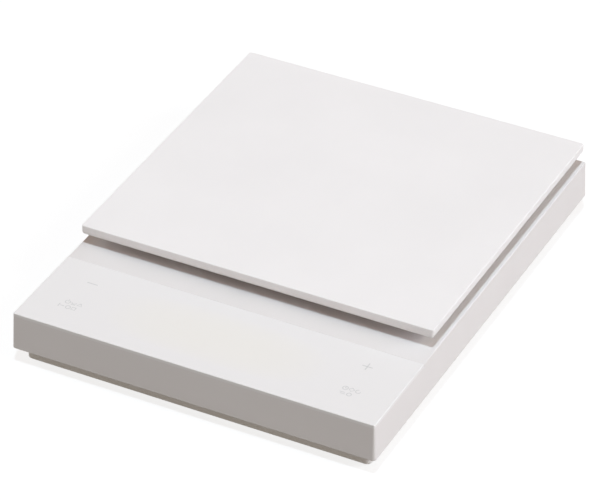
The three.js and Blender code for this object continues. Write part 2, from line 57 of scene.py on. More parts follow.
BODY_OF = {node: body for body, nodes in frame["record"]["behaviour"]["bodies"].items() for node in nodes}
SLOT_OF = {row["node"]: row["material_slot"] for row in frame["record"]["subparts"]}

# ---- Camera -------------------------------------------------------------------------------------------

CAMERA_AZIMUTH = math.radians(26.74)
CAMERA_ELEVATION = math.radians(35.25)
CAMERA_ROLL = math.radians(0.25)
CAMERA_DISTANCE = 1.340
CAMERA_LENS = 225.2  # mm, on a 36 mm sensor
CAMERA_AIM = Vector((0.0008, -0.0077, 0.0200))


def make_camera():
    data = bpy.data.cameras.new("camera")
    data.lens = CAMERA_LENS
    data.sensor_width = 36
    data.clip_start = 0.05
    data.clip_end = 20
    camera = bpy.data.objects.new("camera", data)
    bpy.context.scene.collection.objects.link(camera)
    flat = math.cos(CAMERA_ELEVATION)
    back = Vector((
        math.sin(CAMERA_AZIMUTH) * flat,
        -math.cos(CAMERA_AZIMUTH) * flat,
        math.sin(CAMERA_ELEVATION),
    ))
    camera.location = CAMERA_AIM + back * CAMERA_DISTANCE
    turn = (-back).to_track_quat("-Z", "Y")
    camera.rotation_mode = "QUATERNION"
    camera.rotation_quaternion = turn @ Matrix.Rotation(CAMERA_ROLL, 4, "Z").to_quaternion()
    bpy.context.scene.camera = camera


# ---- Materials ----------------------------------------------------------------------------------------


class Paint:
    """A material under construction: its nodes, with helpers that add and link them."""

    def __init__(self, name, roughness=0.5, metallic=0.0):
        self.material = bpy.data.materials.new(name)
        self.material.use_nodes = True
        self.tree = self.material.node_tree
        self.shader = self.tree.nodes["Principled BSDF"]
        self.shader.inputs["Roughness"].default_value = roughness
        self.shader.inputs["Metallic"].default_value = metallic
        self.place = self.node("ShaderNodeTexCoord").outputs["Object"]

    def node(self, kind, **settings):
        made = self.tree.nodes.new(kind)
        for key, value in settings.items():
            setattr(made, key, value)
        return made

    def link(self, output, target):
        self.tree.links.new(output, target)

    def stretched(self, x, y, z):
        """The place coordinates, with each axis multiplied."""
        mapping = self.node("ShaderNodeMapping")
        mapping.inputs["Scale"].default_value = (x, y, z)
        self.link(self.place, mapping.inputs["Vector"])
        return mapping.outputs["Vector"]

    def noise(self, size, detail=2.0, place=None):
        """Noise whose blobs are about size metres across."""
        made = self.node("ShaderNodeTexNoise")
        made.inputs["Scale"].default_value = 1 / size
        made.inputs["Detail"].default_value = detail
        self.link(place or self.place, made.inputs["Vector"])
        return made.outputs["Fac"]

    def between(self, factor, low, high):
        """A number that goes from low to high as factor goes from 0.3 to 0.7, as noise does."""
        made = self.node("ShaderNodeMapRange")
        made.inputs["From Min"].default_value = 0.3
        made.inputs["From Max"].default_value = 0.7
        made.inputs["To Min"].default_value = low
        made.inputs["To Max"].default_value = high
        self.link(factor, made.inputs["Value"])
        return made.outputs["Result"]

    def mix(self, factor, first, second):
        """A colour between two colours, each a tuple or an output."""
        made = self.node("ShaderNodeMix", data_type="RGBA")
        self.link(factor, made.inputs["Factor"])
        for socket, colour in ((made.inputs[6], first), (made.inputs[7], second)):
            if isinstance(colour, tuple):
                socket.default_value = (*colour, 1)
            else:
                self.link(colour, socket)
        return made.outputs[2]

    def math(self, operation, first, second=None):
        made = self.node("ShaderNodeMath", operation=operation)
        for socket, value in zip(made.inputs, (first, second)):
            if isinstance(value, (int, float)):
                socket.default_value = value
            elif value is not None:
                self.link(value, socket)
        return made.outputs[0]

    def ramp(self, factor, stops):
        """A colour ramp through (position, colour) stops."""
        made = self.node("ShaderNodeValToRGB")
        elements = made.color_ramp.elements
        while len(elements) < len(stops):
            elements.new(0.5)
        for element, (position, colour) in zip(elements, stops):
            element.position = position
            element.color = (*colour, 1)
        self.link(factor, made.inputs["Fac"])
        return made.outputs["Color"]

    def colour(self, value):
        self.link(value, self.shader.inputs["Base Color"])

    def roughness(self, value):
        self.link(value, self.shader.inputs["Roughness"])

    def bump(self, height, depth):
        """Bump from a height of 0 to 1 that stands for depth metres."""
        made = self.node("ShaderNodeBump")
        made.inputs["Strength"].default_value = 1.0
        made.inputs["Distance"].default_value = depth
        self.link(height, made.inputs["Height"])
        self.link(made.outputs["Normal"], self.shader.inputs["Normal"])


def tinted(colour, factor):
    return tuple(min(1.0, channel * factor) for channel in colour)


def moulded_plastic(name, colour, roughness, depth=0.006 * MM, variation=0.012):
    """Moulded plastic with a fine spark-eroded grain, faint flow mottling and uneven gloss."""
    paint = Paint(name)
    cloud = paint.noise(35 * MM, 3)
    fine = paint.noise(0.35 * MM, 2)
    deep = tinted(colour, 1 - variation)
    pale = tinted(colour, 1 + variation)
    paint.colour(paint.mix(paint.between(cloud, 0, 1), deep, pale))
    smears = paint.noise(12 * MM, 4)
    paint.roughness(paint.between(smears, roughness - 0.04, roughness + 0.04))
    paint.bump(fine, depth)
    return paint.material


def panel_plastic(name, colour, window_colour, roughness):
    """The touch panel: satin plastic, a little warmer where it thins over the hidden display."""
    paint = Paint(name)
    low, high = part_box("control_panel")
    middle = (low + high) / 2
    display_low, display_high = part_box("display_light_mask")
    half = (display_high - display_low) / 2
    axes = paint.node("ShaderNodeSeparateXYZ")
    paint.link(paint.place, axes.inputs["Vector"])
    across = paint.math("DIVIDE", paint.math("SUBTRACT", axes.outputs["X"], middle.x), half.x * 1.5)
    along = paint.math("DIVIDE", paint.math("SUBTRACT", axes.outputs["Y"], middle.y), half.y * 1.7)
    cubes = [paint.math("POWER", paint.math("ABSOLUTE", offset), 3.0) for offset in (across, along)]
    inside = paint.math("SUBTRACT", 1.0, paint.math("MINIMUM", paint.math("ADD", *cubes), 1.0))
    paint.colour(paint.mix(inside, colour, window_colour))
    smears = paint.noise(15 * MM, 4)
    paint.roughness(paint.between(smears, roughness - 0.05, roughness + 0.05))
    paint.bump(paint.noise(0.5 * MM, 1), 0.003 * MM)
    return paint.material


def rubber(name, colour):
    paint = Paint(name)
    dust = paint.noise(1.5 * MM, 5)
    paint.colour(paint.mix(paint.between(dust, 0, 1), tinted(colour, 0.9), tinted(colour, 1.1)))
    paint.roughness(paint.between(dust, 0.72, 0.88))
    paint.bump(paint.noise(0.4 * MM, 2), 0.01 * MM)
    return paint.material


def metal(name, colour, roughness, grain, brushing=(1, 1, 1)):
    """Bare or plated metal whose gloss varies in streaks along the axis that brushing shortens."""
    paint = Paint(name, metallic=1.0)
    streaks = paint.noise(grain, 3, paint.stretched(*brushing))
    spots = paint.noise(4 * MM, 4)
    paint.colour(paint.mix(paint.between(spots, 0, 1), tinted(colour, 0.93), tinted(colour, 1.04)))
    paint.roughness(paint.between(streaks, roughness - 0.08, roughness + 0.08))
    paint.bump(streaks, 0.004 * MM)
    return paint.material


def board_resin(name):
    """Green solder mask with lighter tracks under it."""
    paint = Paint(name, roughness=0.35)
    tracks = paint.node("ShaderNodeTexBrick")
    tracks.inputs["Scale"].default_value = 260
    tracks.inputs["Mortar Size"].default_value = 0.06
    tracks.inputs["Color1"].default_value = (0.012, 0.10, 0.035, 1)
    tracks.inputs["Color2"].default_value = (0.015, 0.13, 0.045, 1)
    tracks.inputs["Mortar"].default_value = (0.05, 0.24, 0.09, 1)
    paint.link(paint.place, tracks.inputs["Vector"])
    paint.colour(tracks.outputs["Color"])
    paint.bump(tracks.outputs["Fac"], 0.02 * MM)
    return paint.material


def battery_jacket(name, node, positive_at_rear):
    """A plain printed jacket: dark along most of the cell and a coppery band by the positive end."""
    paint = Paint(name, metallic=0.6)
    low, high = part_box(node)
    axes = paint.node("ShaderNodeSeparateXYZ")
    paint.link(paint.place, axes.inputs["Vector"])
    along = paint.node("ShaderNodeMapRange")
    ends = (low.y, high.y) if positive_at_rear else (high.y, low.y)
    along.inputs["From Min"].default_value = ends[0]
    along.inputs["From Max"].default_value = ends[1]
    paint.link(axes.outputs["Y"], along.inputs["Value"])
    dark = (0.030, 0.055, 0.075)
    band = (0.50, 0.27, 0.12)
    steel = (0.62, 0.61, 0.59)
    paint.colour(paint.ramp(along.outputs["Result"], [
        (0.000, steel),
        (0.022, steel),
        (0.026, dark),
        (0.700, dark),
        (0.706, band),
        (0.955, band),
        (0.960, steel),
    ]))
    scuffs = paint.noise(3 * MM, 5)
    paint.roughness(paint.between(scuffs, 0.24, 0.42))
    paint.bump(paint.noise(1.2 * MM, 2), 0.008 * MM)
    return paint.material


WHITE = (0.802, 0.778, 0.768)
materials = {
    "housing_plastic": moulded_plastic("housing_plastic", WHITE, 0.46),
    "panel_plastic": panel_plastic("panel_plastic", (0.853, 0.841, 0.834), (0.862, 0.846, 0.808), 0.36),
    # Whiter than the housing's white plastic, to make up for the shade under the housing's overhang: the
    # plinth's lightness is painted light.
    "cover_plastic": moulded_plastic("cover_plastic", (0.880, 0.870, 0.855), 0.56, depth=0.01 * MM),
    "carrier_plastic": moulded_plastic("carrier_plastic", (0.72, 0.71, 0.69), 0.5),
    # Whiter than the housing's white plastic, so that the platform's front comes out lighter, as if lit by
    # light bouncing off the panel: painted light.
    "platform_plastic": moulded_plastic("platform_plastic", (0.900, 0.886, 0.880), 0.42),
    "silicone": rubber("silicone", (0.42, 0.42, 0.41)),
    "screw_steel": metal("screw_steel", (0.58, 0.585, 0.59), 0.30, 0.6 * MM),
    "cell_aluminium": metal("cell_aluminium", (0.70, 0.71, 0.72), 0.34, 0.7 * MM, brushing=(1, 0.08, 1)),
    "sealant": rubber("sealant", (0.74, 0.72, 0.66)),
    "board_resin": board_resin("board_resin"),
    "black_resin": moulded_plastic("black_resin", (0.018, 0.018, 0.02), 0.5, variation=0.2),
    "contact_nickel": metal("contact_nickel", (0.66, 0.63, 0.58), 0.22, 0.9 * MM),
    "cable_jacket": moulded_plastic("cable_jacket", (0.70, 0.68, 0.62), 0.55),
    "red_insulation": moulded_plastic("red_insulation", (0.42, 0.02, 0.018), 0.42, variation=0.08),
    "black_insulation": moulded_plastic("black_insulation", (0.02, 0.02, 0.02), 0.42, variation=0.2),
    "key_print": moulded_plastic("key_print", (0.675, 0.675, 0.670), 0.5),
}


def material_of(node):
    """The material of a CAD node's slot. Each battery has a jacket of its own."""
    slot = SLOT_OF[node]
    if slot != "battery_jacket":
        return materials[slot]
    name = f"jacket_{node}"
    return bpy.data.materials.get(name) or battery_jacket(name, node, node != "battery_cell_middle")


# ---- Mesh helpers -------------------------------------------------------------------------------------

CREASE = math.radians(30)
SMOOTH_UNDER = math.radians(40)
FLAT_WITHIN = math.radians(0.5)
WELD_DISTANCE = 0.002 * MM


def link_mesh(name, bm):
    bmesh.ops.recalc_face_normals(bm, faces=bm.faces)
    mesh = bpy.data.meshes.new(name)
    bm.to_mesh(mesh)
    bm.free()
    obj = bpy.data.objects.new(name, mesh)
    bpy.context.scene.collection.objects.link(obj)
    return obj


def finished(obj, node, replaced=True, rides=True):
    """Gives a piece the material, slot and body of the CAD node that it stands for or belongs to."""
    obj.data.materials.clear()
    obj.data.materials.append(material_of(node))
    if rides:
        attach(obj, BODY_OF[node])
    if replaced:
        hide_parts(node)
    return obj


def even_normals(obj):
    """Smooths the rounded edges and keeps the flat faces flat."""
    mesh = obj.data
    for face in mesh.polygons:
        face.use_smooth = True
    mesh.set_sharp_from_angle(angle=SMOOTH_UNDER)
    obj.modifiers.new("even_normals", "WEIGHTED_NORMAL").keep_sharp = True
    return obj


def soften(obj, width_at, segments=3):
    """Rounds each creased edge by width_at(middle, convex) metres."""
    bm = bmesh.new()
    bm.from_mesh(obj.data)
    weight = bm.edges.layers.float.new("bevel_weight_edge")
    widths = {}
    for edge in bm.edges:
        if len(edge.link_faces) == 2 and edge.calc_face_angle() > CREASE:
            middle = (edge.verts[0].co + edge.verts[1].co) / 2
            widths[edge] = width_at(middle, edge.is_convex)
    widest = max(widths.values())
    for edge, width in widths.items():
        edge[weight] = width / widest
    for face in bm.faces:
        face.smooth = True
    bm.to_mesh(obj.data)
    bm.free()
    bevel = obj.modifiers.new("rounded_edges", "BEVEL")
    bevel.limit_method = "WEIGHT"
    bevel.width = widest
    bevel.segments = segments
    bevel.use_clamp_overlap = False
    obj.modifiers.new("even_normals", "WEIGHTED_NORMAL").keep_sharp = True
    return obj


def whole_copy(node, name):
    """A new piece with a CAD node's shape, its triangles welded back into whole flat faces."""
    bm = bmesh.new()
    bm.from_mesh(frame["nodes"][node].data)
    bmesh.ops.remove_doubles(bm, verts=bm.verts, dist=WELD_DISTANCE)
    bmesh.ops.dissolve_limit(bm, angle_limit=FLAT_WITHIN, verts=bm.verts, edges=bm.edges)
    return link_mesh(name, bm)


def softened_copy(node, name, convex_width, concave_width=0.0, segments=2, rides=True):
    piece = whole_copy(node, name)
    soften(piece, lambda middle, convex: convex_width if convex else concave_width, segments)
    return finished(piece, node, rides=rides)


def ring_points(x0, x1, y0, y1, radius, z, steps=8):
    """A rounded rectangle at height z."""
    points = []
    for corner, (cx, cy) in enumerate((
        (x1 - radius, y1 - radius),
        (x0 + radius, y1 - radius),
        (x0 + radius, y0 + radius),
        (x1 - radius, y0 + radius),
    )):
        for i in range(steps + 1):
            angle = (corner + i / steps) * math.pi / 2
            points.append((cx + radius * math.cos(angle), cy + radius * math.sin(angle), z))
    return points


def ring_round(low, high, gap, radius, z):
    """A rounded rectangle at height z that clears the sides of a box by gap."""
    return ring_points(low.x - gap, high.x + gap, low.y - gap, high.y + gap, radius, z)


def add_loft(bm, rings):
    """A closed solid through rings of points, each with as many points as the others."""
    loops = [[bm.verts.new(p) for p in ring] for ring in rings]
    count = len(rings[0])
    for lower, upper in zip(loops, loops[1:]):
        for i in range(count):
            j = (i + 1) % count
            bm.faces.new((lower[i], lower[j], upper[j], upper[i]))
    bm.faces.new(loops[0])
    bm.faces.new(loops[-1])


def lofts(name, *solids):
    """One mesh of closed solids, each given as its rings."""
    bm = bmesh.new()
    for rings in solids:
        add_loft(bm, rings)
    return link_mesh(name, bm)


def turned_rings(profile, centre, steps=48, along_y=False):
    """Rings of a turned solid that stands on centre. Profile is its (radius, height) pairs."""
    spin = Matrix.Rotation(-math.pi / 2, 3, "X") if along_y else Matrix.Identity(3)
    turns = [2 * math.pi * i / steps for i in range(steps)]
    return [
        [centre + spin @ Vector((radius * math.cos(a), radius * math.sin(a), height)) for a in turns]
        for radius, height in profile
    ]


def quarter_turns(steps):
    return [i / steps * math.pi / 2 for i in range(steps + 1)]


def quarter(radius, steps):
    """(inward, downward) offsets along a quarter round, from its outer end to its top."""
    return [(radius * (1 - math.cos(t)), radius * (1 - math.sin(t))) for t in quarter_turns(steps)]


def boolean(obj, cutter, operation):
    """Applies a boolean with a scratch object, which is removed."""
    modifier = obj.modifiers.new("boolean", "BOOLEAN")
    modifier.operation = operation
    modifier.solver = "EXACT"
    modifier.object = cutter
    bpy.context.view_layer.update()
    graph = bpy.context.evaluated_depsgraph_get()
    mesh = bpy.data.meshes.new_from_object(obj.evaluated_get(graph), depsgraph=graph)
    obj.modifiers.clear()
    obj.data = mesh
    bpy.data.objects.remove(cutter)
    return obj


def middle_of(node):
    low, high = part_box(node)
    return (low + high) / 2


# ---- Weighing platform --------------------------------------------------------------------------------

PLATFORM_CORNER = 1.0 * MM
PLATFORM_TOP_EDGE = 0.28 * MM
PLATFORM_LOWER_EDGE = 2.1 * MM
PLATFORM_DRAFT = 0.03
PLATFORM_SKIN = 2.0 * MM
CORNERS = [f"{end}_{side}" for end in ("front", "rear") for side in ("left", "right")]


def platform_pockets(low, high):
    """Solids that hollow the underside into a grid, each tapered for the mould."""
    rim, rib, count = 5 * MM, 3 * MM, 4
    width, depth = (((high[i] - low[i]) - 2 * rim - (count - 1) * rib) / count for i in (0, 1))
    top = high.z - PLATFORM_SKIN
    fillet = quarter(0.6 * MM, 4)
    solids = []
    for i in range(count):
        for j in range(count):
            x = low.x + rim + i * (width + rib)
            y = low.y + rim + j * (depth + rib)
            levels = [(0, low.z - 1 * MM), (0, low.z)]
            levels += [(0.1 * MM + inset, top - drop) for inset, drop in fillet]
            solids.append([
                ring_points(x + inset, x + width - inset, y + inset, y + depth - inset, 1.5 * MM, z, 4)
                for inset, z in levels
            ])
    return lofts("pockets", *solids)


def platform():
    low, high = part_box("weighing_platform")

    def ring(inset, z):
        radius = max(PLATFORM_CORNER - inset, 0.15 * MM)
        return ring_round(low, high, -inset, radius, z)

    lean = PLATFORM_DRAFT * (high.z - low.z - PLATFORM_LOWER_EDGE)
    lower = [ring(inset, low.z + drop) for inset, drop in reversed(quarter(PLATFORM_LOWER_EDGE, 8))]
    upper = [ring(lean + inset, high.z - drop) for inset, drop in quarter(PLATFORM_TOP_EDGE, 5)]
    body = lofts("platform_plate", lower + upper)
    boolean(body, platform_pockets(low, high), "DIFFERENCE")

    bosses = []
    for corner in CORNERS:
        pad_low, pad_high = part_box(f"support_pad_{corner}")
        foot = (pad_low + pad_high) / 2
        foot.z = low.z
        radius = (pad_high.x - pad_low.x) / 2 + 1 * MM
        lip = 0.3 * MM
        bosses.append(turned_rings([(radius - lip, 0), (radius, lip), (radius, 2.5 * MM)], foot))
    boolean(body, lofts("bosses", *bosses), "UNION")

    spacer_low, spacer_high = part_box("carrier_spacer")
    half, past = 6 * MM, 2.5 * MM
    relief = [
        ring_points(-half, half, spacer_low.y - past, spacer_high.y + past, 3 * MM, z)
        for z in (low.z - 1 * MM, high.z - PLATFORM_SKIN)
    ]
    boolean(body, lofts("relief", relief), "DIFFERENCE")
    return finished(even_normals(body), "weighing_platform")


# ---- Main housing -------------------------------------------------------------------------------------

HALF_WIDTH = 70 * MM
HALF_DEPTH = 89 * MM
HOUSING_CORNER = 0.6 * MM
INNER_CORNER = 1.0 * MM
WALL = 2.2 * MM
WALL_DRAFT = 0.044
SHOULDER = 0.25 * MM
SEAM_EDGE = 0.2 * MM
HOUSING_FOOT = 0.35 * MM
PANEL_PROUD = 0.2 * MM
BODY_HEIGHT = 14.6 * MM
FACE_GAP = 0.1 * MM  # between faces that would otherwise touch
CEILING_THICKNESS = 1.9 * MM
CORNER_STEPS = 6


def housing_levels():
    """Heights of the deck and of the seat of the panel."""
    panel_low, panel_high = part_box("control_panel")
    return panel_high.z - PANEL_PROUD, panel_low.z - FACE_GAP


def housing_rows():
    """The top's course from front to rear: (way out, end of a corner or 0, y, level, edge radius)."""
    deck, seat = housing_levels()
    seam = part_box("control_panel")[1].y + SEAM_EDGE
    flat = 0.05 * MM
    turns = quarter_turns(CORNER_STEPS)
    side = (1, 0)
    rows = [((math.sin(t), -math.cos(t)), -1, 0, seat, flat) for t in turns]
    rows.append((side, 0, seam, seat, flat))
    rows += [(side, 0, seam + inset, deck - drop, SHOULDER) for inset, drop in quarter(SEAM_EDGE, 4)]
    rows += [((math.cos(t), math.sin(t)), 1, 0, deck, SHOULDER) for t in turns]
    return rows


def housing_point(row, corner, half_width, half_depth, inset, z):
    """A row's point on a drafted wall at height z, inset from the wall."""
    (nx, ny), end, y, _, _ = row
    reach = corner + WALL_DRAFT * (housing_levels()[0] - z) - inset
    centre_y = end * (half_depth - corner) if end else y
    return (half_width - corner + nx * reach, centre_y + ny * reach, z)


def housing():
    rows = housing_rows()
    deck, seat = housing_levels()
    bottom = deck - BODY_HEIGHT
    ceiling = seat - CEILING_THICKNESS
    outer = (HOUSING_CORNER, HALF_WIDTH, HALF_DEPTH)
    inner = (INNER_CORNER, HALF_WIDTH - WALL, HALF_DEPTH - WALL)
    bm = bmesh.new()
    rings = []

    def add_ring(points):
        right = [bm.verts.new(p) for p in points]
        left = [bm.verts.new((-x, y, z)) for x, y, z in points]
        rings.append((right, left))

    add_ring([housing_point(row, *inner, 0, ceiling) for row in rows])
    add_ring([housing_point(row, *inner, 0, bottom) for row in rows])
    for inset, drop in reversed(quarter(HOUSING_FOOT, 3)):
        add_ring([housing_point(row, *outer, inset, bottom + drop) for row in rows])
    for inset, drop in quarter(1, 5):
        add_ring([housing_point(row, *outer, row[4] * inset, row[3] - row[4] * drop) for row in rows])

    for (right, left), (next_right, next_left) in zip(rings, rings[1:]):
        loop, next_loop = right + left[::-1], next_right + next_left[::-1]
        for i in range(len(loop)):
            j = (i + 1) % len(loop)
            bm.faces.new((loop[i], loop[j], next_loop[j], next_loop[i]))
    for right, left in (rings[0], rings[-1]):
        for i in range(len(right) - 1):
            bm.faces.new((right[i], right[i + 1], left[i + 1], left[i]))
    bmesh.ops.remove_doubles(bm, verts=bm.verts, dist=1e-7)
    bmesh.ops.dissolve_degenerate(bm, dist=1e-7, edges=bm.edges)
    body = link_mesh("housing_shell", bm)

    boolean(body, housing_posts(ceiling), "UNION")
    boolean(body, housing_openings(ceiling), "DIFFERENCE")
    return finished(even_normals(body), "main_housing")


def housing_posts(ceiling):
    """The screw bosses under the ceiling."""
    solids = []
    for corner in CORNERS:
        for screw_node, radius, bottom in (
            (f"case_screw_{corner}", 3.5 * MM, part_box("main_housing")[0].z),
            (f"circuit_board_screw_{corner}", 2.6 * MM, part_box("main_circuit_board")[1].z + FACE_GAP),
        ):
            place = middle_of(screw_node)
            foot = Vector((place.x, place.y, 0))
            solids.append(turned_rings([(radius, bottom), (radius, ceiling + 0.5 * MM)], foot, 32))
    return lofts("posts", *solids)


def housing_openings(ceiling):
    """The display window, the opening over the load cell's free end, the touch holes and the pilot holes."""
    deck, seat = housing_levels()
    over = deck + 1 * MM
    under = ceiling - 1 * MM
    clearances = (("display_light_mask", 0.5 * MM, 1 * MM), ("carrier_spacer", 4 * MM, 2 * MM))
    solids = [
        [ring_round(*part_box(node), gap, radius, z) for z in (under, over)]
        for node, gap, radius in clearances
    ]
    for side in ("minus", "plus"):
        place = middle_of(f"touch_spring_{side}")
        foot = Vector((place.x, place.y, 0))
        solids.append(turned_rings([(4.6 * MM, under), (4.6 * MM, over)], foot, 40))
    for corner in CORNERS:
        for screw, radius, top in (
            (f"case_screw_{corner}", 1.5 * MM, ceiling - 2 * MM),
            (f"circuit_board_screw_{corner}", 1.1 * MM, seat - 0.6 * MM),
        ):
            place = middle_of(screw)
            foot = Vector((place.x, place.y, 0))
            solids.append(turned_rings([(radius, 3 * MM), (radius, top)], foot, 24))
    return lofts("openings", *solids)


# ---- Control panel ------------------------------------------------------------------------------------

PANEL_EDGE = 0.3 * MM
PANEL_REAR_EDGE = 0.2 * MM


def control_panel():
    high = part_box("control_panel")[1]
    seat = housing_levels()[1]

    def ring(inset, drop):
        """The outline at a depth under the top: round corners in front and a straight rear edge."""
        grow = WALL_DRAFT * drop - inset
        half, front = HALF_WIDTH + grow, HALF_DEPTH + grow
        rear = high.y - inset * PANEL_REAR_EDGE / PANEL_EDGE
        radius = HOUSING_CORNER - inset
        arc_right = [
            (half - radius + radius * math.cos(t), -front + radius - radius * math.sin(t))
            for t in quarter_turns(CORNER_STEPS)
        ]
        outline = [(half, rear), *arc_right, *((-x, y) for x, y in reversed(arc_right)), (-half, rear)]
        return [(x, y, high.z - drop) for x, y in outline]

    rings = [ring(0, high.z - seat - 0.005 * MM)]
    rings += [ring(inset, drop) for inset, drop in quarter(PANEL_EDGE, 5)]
    return finished(even_normals(lofts("touch_panel", rings)), "control_panel")


# The marks of the touch keys and the pictograms in front of them, as strokes of a thin raised print.
PRINT_HEIGHT = 0.02 * MM
PRINT_PROFILE = ((-1, -PRINT_HEIGHT), (1, -PRINT_HEIGHT), (0.85, PRINT_HEIGHT), (-0.85, PRINT_HEIGHT))
BOLD_STROKE = 0.50 * MM
FINE_STROKE = 0.38 * MM
MINUS_KEY = (-53.9 * MM, -61.2 * MM)
PLUS_KEY = (53.4 * MM, -60.5 * MM)
LEFT_HINTS = (-54.7 * MM, -75.8 * MM)
RIGHT_HINTS = (54.4 * MM, -76.0 * MM)


def stroke(points, width, level):
    """Rings of a flat line through points, in the plane of the panel."""
    rings = []
    for i, (x, y) in enumerate(points):
        before, after = points[max(i - 1, 0)], points[min(i + 1, len(points) - 1)]
        dx, dy = after[0] - before[0], after[1] - before[1]
        length = math.hypot(dx, dy)
        sx, sy = -dy / length * width / 2, dx / length * width / 2
        rings.append([(x + side * sx, y + side * sy, level + height) for side, height in PRINT_PROFILE])
    return rings


def dash(centre, dx, dy, length):
    """The two ends of a line of a given length about (centre + (dx, dy)), in millimetres."""
    x, y = centre[0] + dx * MM, centre[1] + dy * MM
    return [(x - length / 2 * MM, y), (x + length / 2 * MM, y)]


def arc(centre, dx, dy, radius, start, end):
    """Points along a round line from one angle to another, in degrees."""
    x, y = centre[0] + dx * MM, centre[1] + dy * MM
    steps = 28
    angles = [math.radians(start + (end - start) * i / steps) for i in range(steps + 1)]
    return [(x + radius * MM * math.cos(a), y + radius * MM * math.sin(a)) for a in angles]


def upright(centre, dx, dy, length):
    x, y = centre[0] + dx * MM, centre[1] + dy * MM
    return [(x, y - length / 2 * MM), (x, y + length / 2 * MM)]


def polygon(centre, dx, dy, radius, sides, turn):
    """A regular polygon's outline, whose end meets its start. Turn is its first corner's angle."""
    x, y = centre[0] + dx * MM, centre[1] + dy * MM
    angles = [math.radians(turn + 360 * i / sides) for i in range(sides + 1)]
    return [(x + radius * MM * math.cos(a), y + radius * MM * math.sin(a)) for a in angles]


def key_marks():
    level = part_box("control_panel")[1].z
    bold = [dash(MINUS_KEY, 0, 0, 4.1), dash(PLUS_KEY, 0, 0, 3.9), upright(PLUS_KEY, 0, 0, 3.9)]
    # In front of the minus key: a power sign, a pan, a triangle, a stop, a ring and a square.
    fine = [
        arc(LEFT_HINTS, -1.6, 1.4, 0.9, 125, 415),
        upright(LEFT_HINTS, -1.6, 2.2, 1.1),
        arc(LEFT_HINTS, 0.8, 2.1, 1.0, 200, 340),
        dash(LEFT_HINTS, 0.8, 0.6, 1.7),
        polygon(LEFT_HINTS, 3.2, 1.3, 1.0, 3, 90),
        upright(LEFT_HINTS, -3.6, -1.4, 1.8),
        dash(LEFT_HINTS, -2.3, -1.4, 1.6),
        arc(LEFT_HINTS, 0.0, -1.4, 0.85, 0, 357),
        polygon(LEFT_HINTS, 2.2, -1.4, 1.0, 4, 45),
    ]
    # In front of the plus key: a clock face, a diamond, an open ring, an equals sign and a ring.
    fine += [
        arc(RIGHT_HINTS, -2.4, 1.4, 0.95, 0, 357),
        upright(RIGHT_HINTS, -2.4, 1.7, 0.7),
        dash(RIGHT_HINTS, -2.15, 1.35, 0.5),
        polygon(RIGHT_HINTS, 0.0, 1.4, 1.0, 4, 90),
        arc(RIGHT_HINTS, 2.4, 1.4, 0.9, 90, 360),
        dash(RIGHT_HINTS, -2.4, -1.0, 1.9),
        dash(RIGHT_HINTS, -2.0, -1.8, 1.9),
        arc(RIGHT_HINTS, 0.3, -1.4, 0.8, 0, 357),
    ]
    solids = [stroke(line, BOLD_STROKE, level) for line in bold]
    solids += [stroke(line, FINE_STROKE, level) for line in fine]
    prints = finished(lofts("key_prints", *solids), "control_panel", replaced=False)
    prints.data.materials[0] = materials["key_print"]


# ---- Bottom cover -------------------------------------------------------------------------------------

PLINTH_EDGE = 0.8 * MM


def bottom_cover():
    low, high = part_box("bottom_cover")
    body = whole_copy("bottom_cover", "plinth_cover")
    rim = 4 * MM

    def width_at(middle, convex):
        outer = abs(middle.x) > high.x - rim or abs(middle.y) > high.y - rim
        if outer and middle.z < low.z + 0.1 * MM:
            return PLINTH_EDGE
        return 0.2 * MM if convex else 0.1 * MM

    return finished(soften(body, width_at), "bottom_cover")


# ---- Round pieces -------------------------------------------------------------------------------------


def rounded_disc(radius, bottom, top, lower_edge, upper_edge, steps=4):
    """The profile of a disc with rounded edges."""
    profile = [(radius - inset, bottom + drop) for inset, drop in reversed(quarter(lower_edge, steps))]
    return profile + [(radius - inset, top - drop) for inset, drop in quarter(upper_edge, steps)]


def foot_profile(radius, bottom, top):
    """A foot with a shallow dimple in its underside."""
    dimple = radius * 0.45
    profile = [(dimple - 0.2 * MM, 0.25 * MM), (dimple, 0.05 * MM), (dimple + 0.15 * MM, 0)]
    return profile + rounded_disc(radius, bottom, top, 0.5 * MM, 0.1 * MM)


def pad_profile(radius, bottom, top):
    """A pad with a shallow dish in its top."""
    profile = rounded_disc(radius, bottom, top, 0.1 * MM, 0.35 * MM)
    return profile + [(radius * 0.5, top), (radius * 0.44, top - 0.25 * MM)]


def feet_and_pads():
    for corner in CORNERS:
        for node, name, profile_of in (
            (f"rubber_foot_{corner}", f"foot_{corner}", foot_profile),
            (f"support_pad_{corner}", f"pad_{corner}", pad_profile),
        ):
            low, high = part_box(node)
            radius = (high.x - low.x) / 2
            place = Vector(((low.x + high.x) / 2, (low.y + high.y) / 2, 0))
            rings = turned_rings(profile_of(radius, low.z, high.z), place, 64)
            finished(even_normals(lofts(name, rings)), node)


SHANK_RADII = {"case": 1.3 * MM, "load": 1.45 * MM, "carrier": 1.45 * MM, "circuit": 0.9 * MM}


